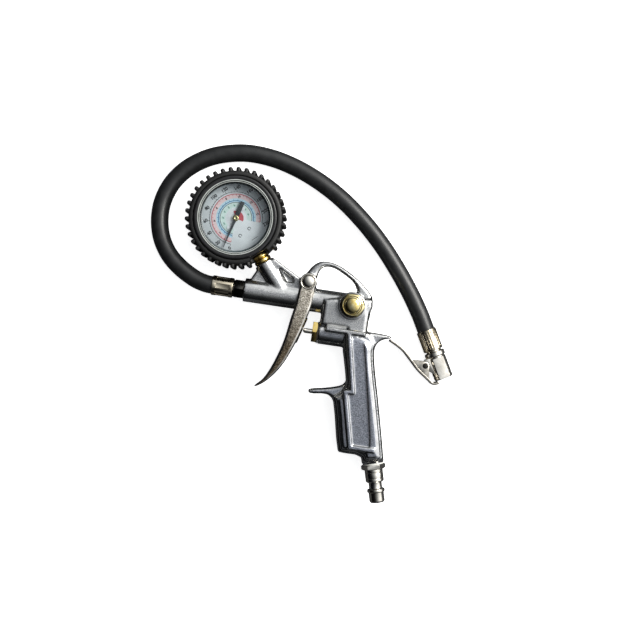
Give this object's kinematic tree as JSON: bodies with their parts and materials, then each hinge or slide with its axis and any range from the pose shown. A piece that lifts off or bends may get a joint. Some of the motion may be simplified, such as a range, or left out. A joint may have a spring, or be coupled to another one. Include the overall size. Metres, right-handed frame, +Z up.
{
  "type": "tyre inflator gun",
  "caption": "Pistol-grip tyre inflator with trigger valve, bleed button, booted dial gauge, hose and clip-on chuck.",
  "frame": {"origin": "on the table under the middle of the gun's box, hose and chuck left out", "axes": "+Z up, away from the table, the way the dial faces; +X from the hose outlet to the rear of the barrel; +Y away from the grip's lower end"},
  "size_m": [0.2206, 0.2296, 0.0309],
  "materials": {
    "cast_body": "vibration-tumbled die casting, satin",
    "trigger_cast": "rough cast, nickel flashed",
    "bright_plate": "bright nickel plate",
    "pressed_steel": "pressed and nickel plated",
    "spring_steel": "drawn wire",
    "brass_turned": "turned brass",
    "seal_rubber": "nitrile",
    "fibre_washer": "pressed fibre",
    "thread_seal": "white sealing washer",
    "boot_rubber": "moulded rubber",
    "case_paint": "black stove enamel",
    "lens_plastic": "clear acrylic",
    "dial_print": "printed aluminium",
    "pointer_paint": "black enamel",
    "tube_bronze": "phosphor bronze",
    "hose_rubber": "smooth extruded rubber"
  },
  "bodies": {
    "gun": {"gun_body": "cast_body", "trigger_pin": "bright_plate", "gland_nut": "brass_turned", "gland_washer": "fibre_washer", "stem_o_ring": "seal_rubber", "valve_spring": "spring_steel", "bleed_housing": "brass_turned", "bleed_washer": "fibre_washer", "bleed_spring": "spring_steel", "gauge_stem": "brass_turned", "gauge_case": "case_paint", "gauge_boot": "boot_rubber", "gauge_bezel": "case_paint", "gauge_lens": "lens_plastic", "lens_gasket": "seal_rubber", "gauge_dial": "dial_print", "dial_screws": "brass_turned", "movement_plate_front": "brass_turned", "movement_plate_back": "brass_turned", "plate_pillars": "brass_turned", "bourdon_tube": "tube_bronze", "tube_tip": "brass_turned", "hairspring": "tube_bronze", "hose_fitting_front": "bright_plate", "ferrule_front": "bright_plate", "hose": "hose_rubber", "ferrule_rear": "bright_plate", "hose_fitting_rear": "bright_plate", "chuck_body": "bright_plate", "chuck_seal": "seal_rubber", "chuck_depressor": "brass_turned", "chuck_lever_pin": "bright_plate", "chuck_spring": "spring_steel", "inlet_plug": "bright_plate", "inlet_seal": "thread_seal"},
    "trigger": {"trigger": "trigger_cast"},
    "valve_stem": {"valve_stem": "bright_plate", "valve_poppet": "brass_turned", "poppet_seal": "seal_rubber"},
    "bleed_button": {"bleed_button": "brass_turned", "bleed_o_ring": "seal_rubber"},
    "sector": {"sector_gear": "brass_turned"},
    "link": {"movement_link": "brass_turned"},
    "pointer": {"pointer": "pointer_paint", "pinion": "brass_turned"},
    "chuck_lever": {"chuck_lever": "pressed_steel"}
  },
  "joints": [
    {"name": "trigger_pivot", "type": "hinge", "parent": "gun", "child": "trigger", "pos_m": [0.00783, 0.03667, 0.013], "axis": [0, 0, 1], "range_deg": [0, 9], "stiffness_Nm_per_rad": 0.5, "springref_deg": -17.19},
    {"name": "valve_push", "type": "slide", "parent": "gun", "child": "valve_stem", "axis": [1, 0, 0], "range_m": [0, 0.0053], "deforming": ["valve_spring"]},
    {"name": "bleed_press", "type": "slide", "parent": "gun", "child": "bleed_button", "axis": [0, 0, -1], "range_m": [0, 0.002], "stiffness_N_per_m": 100, "springref_m": -0.01, "deforming": ["bleed_spring"]},
    {"name": "sector_swing", "type": "hinge", "parent": "gun", "child": "sector", "pos_m": [-0.03277, 0.07685, 0.01], "axis": [0, 0, 1], "range_deg": [0, 33.75], "stiffness_Nm_per_rad": 0.0002, "springref_deg": -5.73, "deforming": ["hairspring"]},
    {"name": "link_swing", "type": "hinge", "parent": "sector", "child": "link", "pos_m": [-0.02844, 0.07435, 0.0116], "axis": [0, 0, 1], "range_deg": [-34, 0]},
    {"name": "pointer_spin", "type": "hinge", "parent": "gun", "child": "pointer", "pos_m": [-0.04687, 0.07172, 0.012], "axis": [0, 0, -1], "range_deg": [0, 271]},
    {"name": "lever_open", "type": "hinge", "parent": "gun", "child": "chuck_lever", "pos_m": [0.09481, -0.00799, 0.007], "axis": [0, 0, -1], "range_deg": [0, 22], "stiffness_Nm_per_rad": 0.05, "springref_deg": -17.19, "deforming": ["chuck_spring"]}
  ],
  "couplings": [
    {"joint": "valve_push", "follows": "trigger_pivot", "m_per_rad": 0.0323},
    {"joint": "link_swing", "follows": "sector_swing", "ratio": -1},
    {"joint": "pointer_spin", "follows": "sector_swing", "ratio": 8}
  ]
}
